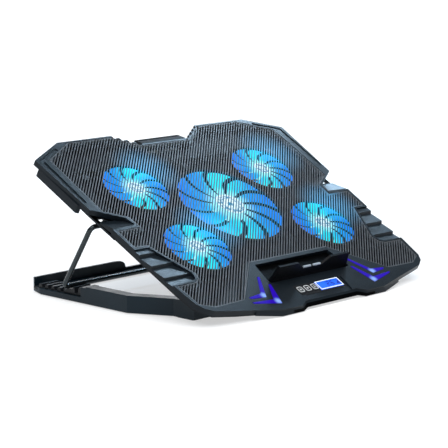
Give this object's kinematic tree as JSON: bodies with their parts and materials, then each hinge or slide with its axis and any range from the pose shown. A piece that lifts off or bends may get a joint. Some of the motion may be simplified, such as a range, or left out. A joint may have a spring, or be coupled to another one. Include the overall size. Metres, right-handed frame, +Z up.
{
  "type": "laptop cooling pad",
  "caption": "Laptop cooling pad with a barred grille over swirling blue-lit fans, a folding laptop stop and a tilting deck on a wire stand.",
  "frame": {"origin": "on the floor, below the middle of the bounding box, with the deck raised", "axes": "+X across to the user's right, +Y to the rear, +Z up"},
  "size_m": [0.356, 0.2556, 0.1463],
  "materials": {
    "shell_plastic": "fine moulded satin texture, dark slate",
    "base_plastic": "fine moulded satin texture, darker slate",
    "black_plastic": "plain black moulding",
    "grille_metal": "powder-coated charcoal steel bars with lighter crests",
    "fan_plastic": "translucent blue moulding lit from inside",
    "motor_metal": "plain stator",
    "bright_steel": "ground pin",
    "screw_steel": "blackened screw",
    "panel_gloss": "glossy black window",
    "lcd_glow": "backlit blue display",
    "button_plastic": "grey keys with pale rims",
    "circuit_board": "green circuit board",
    "led_lens": "violet-blue light pipe",
    "usb_metal": "nickel-plated socket",
    "wire_steel": "gunmetal-coated round wire",
    "foot_rubber": "moulded rubber pad"
  },
  "bodies": {
    "base": {"base_frame": "base_plastic", "left_ratchet_rack": "black_plastic", "right_ratchet_rack": "black_plastic", "left_hinge_pin": "bright_steel", "right_hinge_pin": "bright_steel", "front_left_foot": "foot_rubber", "front_right_foot": "foot_rubber", "rear_left_foot": "foot_rubber", "rear_right_foot": "foot_rubber"},
    "deck": {"top_shell": "shell_plastic", "bottom_shell": "shell_plastic", "mesh_grille": "grille_metal", "deck_screw_1": "screw_steel", "deck_screw_2": "screw_steel", "deck_screw_3": "screw_steel", "deck_screw_4": "screw_steel", "deck_screw_5": "screw_steel", "deck_screw_6": "screw_steel", "main_fan_frame": "black_plastic", "main_fan_motor": "motor_metal", "rear_left_fan_frame": "black_plastic", "rear_left_fan_motor": "motor_metal", "rear_right_fan_frame": "black_plastic", "rear_right_fan_motor": "motor_metal", "front_left_fan_frame": "black_plastic", "front_left_fan_motor": "motor_metal", "front_right_fan_frame": "black_plastic", "front_right_fan_motor": "motor_metal", "control_window": "panel_gloss", "lcd_display": "lcd_glow", "control_board": "circuit_board", "upper_right_led_lens": "led_lens", "lower_right_led_lens": "led_lens", "right_led_board": "circuit_board", "upper_left_led_lens": "led_lens", "lower_left_led_lens": "led_lens", "left_led_board": "circuit_board", "right_usb_socket": "usb_metal", "left_usb_socket": "usb_metal", "usb_board": "circuit_board", "stop_hinge_pin": "bright_steel", "right_wire_clip": "black_plastic", "left_wire_clip": "black_plastic"},
    "main_rotor": {"main_fan_rotor": "fan_plastic", "main_fan_shaft": "bright_steel"},
    "rear_left_rotor": {"rear_left_fan_rotor": "fan_plastic", "rear_left_fan_shaft": "bright_steel"},
    "rear_right_rotor": {"rear_right_fan_rotor": "fan_plastic", "rear_right_fan_shaft": "bright_steel"},
    "front_left_rotor": {"front_left_fan_rotor": "fan_plastic", "front_left_fan_shaft": "bright_steel"},
    "front_right_rotor": {"front_right_fan_rotor": "fan_plastic", "front_right_fan_shaft": "bright_steel"},
    "laptop_stop": {"laptop_stop": "shell_plastic"},
    "fan_button": {"fan_button": "button_plastic"},
    "light_button": {"light_button": "button_plastic"},
    "power_button": {"power_button": "button_plastic"},
    "support_wire": {"support_wire": "wire_steel"}
  },
  "joints": [
    {"name": "deck_tilt", "type": "hinge", "parent": "base", "child": "deck", "pos_m": [0, -0.07196, 0.0175], "axis": [1, 0, 0], "range_deg": [-29.4, 0]},
    {"name": "stand_swing", "type": "hinge", "parent": "deck", "child": "support_wire", "pos_m": [0, 0.03127, 0.07773], "axis": [1, 0, 0], "range_deg": [0, 89]},
    {"name": "stop_fold", "type": "hinge", "parent": "deck", "child": "laptop_stop", "pos_m": [0, -0.09182, 0.02525], "axis": [1, 0, 0], "range_deg": [-90, 0]},
    {"name": "main_fan_spin", "type": "hinge", "parent": "deck", "child": "main_rotor", "pos_m": [0, 0.0133, 0.07702], "axis": [0, -0.4909, 0.8712], "continuous": true},
    {"name": "rear_left_fan_spin", "type": "hinge", "parent": "deck", "child": "rear_left_rotor", "pos_m": [-0.0915, 0.05381, 0.09985], "axis": [0, -0.4909, 0.8712], "continuous": true},
    {"name": "rear_right_fan_spin", "type": "hinge", "parent": "deck", "child": "rear_right_rotor", "pos_m": [0.0915, 0.05381, 0.09985], "axis": [0, -0.4909, 0.8712], "continuous": true},
    {"name": "front_left_fan_spin", "type": "hinge", "parent": "deck", "child": "front_left_rotor", "pos_m": [-0.0915, -0.03017, 0.05253], "axis": [0, -0.4909, 0.8712], "continuous": true},
    {"name": "front_right_fan_spin", "type": "hinge", "parent": "deck", "child": "front_right_rotor", "pos_m": [0.0915, -0.03017, 0.05253], "axis": [0, -0.4909, 0.8712], "continuous": true},
    {"name": "fan_button_press", "type": "slide", "parent": "deck", "child": "fan_button", "axis": [0, 0.4909, -0.8712], "range_m": [0, 0.0006], "stiffness_N_per_m": 400, "springref_m": -0.0005},
    {"name": "light_button_press", "type": "slide", "parent": "deck", "child": "light_button", "axis": [0, 0.4909, -0.8712], "range_m": [0, 0.0006], "stiffness_N_per_m": 400, "springref_m": -0.0005},
    {"name": "power_button_press", "type": "slide", "parent": "deck", "child": "power_button", "axis": [0, 0.4909, -0.8712], "range_m": [0, 0.0006], "stiffness_N_per_m": 400, "springref_m": -0.0005}
  ],
  "couplings": [
    {"joint": "stand_swing", "follows": "deck_tilt", "ratio": -3.02}
  ]
}
